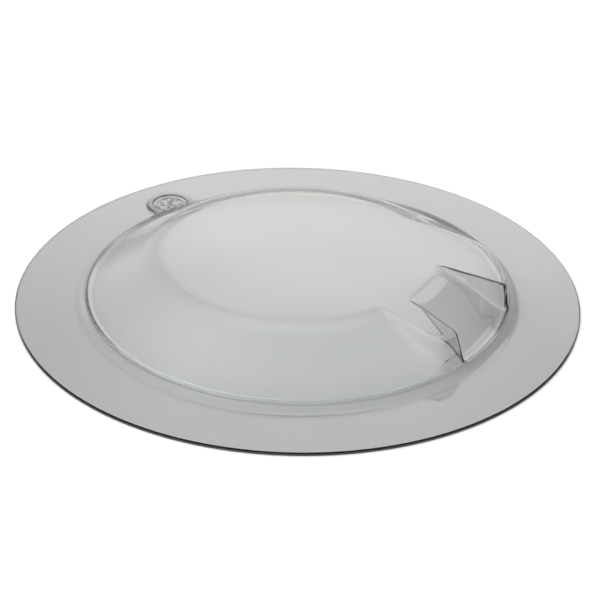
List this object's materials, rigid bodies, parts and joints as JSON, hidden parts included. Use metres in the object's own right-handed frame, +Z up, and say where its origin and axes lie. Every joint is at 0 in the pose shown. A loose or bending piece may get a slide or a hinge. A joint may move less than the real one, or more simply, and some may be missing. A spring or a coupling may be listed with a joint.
{
  "type": "roof vent cover",
  "caption": "Round clear smoked roof vent cover with a flat flange, a ring step, a low crown with a hooded finger pocket, and a small turn-dial breather on the flange.",
  "frame": {"origin": "on the axis of the cover, on the plane that the flange rests on", "axes": "+Z up out of the crown, -Y the front as usually seen, the finger pocket to the right at +X"},
  "size_m": [0.4, 0.3998, 0.0304],
  "materials": {
    "smoked_clear": "clear lightly smoked, polished",
    "edge_band": "dark brown-black, satin",
    "clear_silicone": "translucent, satin",
    "dial_clear": "clear lightly smoked, polished",
    "screen_mesh": "fine woven nylon"
  },
  "bodies": {
    "cover": {"cover_shell": "smoked_clear", "rim_band": "edge_band", "roof_seal": "clear_silicone", "dial_gasket": "clear_silicone", "dial_rivet": "dial_clear", "spring_washer": "dial_clear", "push_nut": "dial_clear", "insect_screen": "screen_mesh", "screen_ring": "dial_clear"},
    "dial": {"breather_dial": "dial_clear"}
  },
  "joints": [
    {"name": "dial_turn", "type": "hinge", "parent": "cover", "child": "dial", "pos_m": [-0.0993, 0.13177, 0.00315], "axis": [0, 0, 1], "range_deg": [0, 45]}
  ]
}
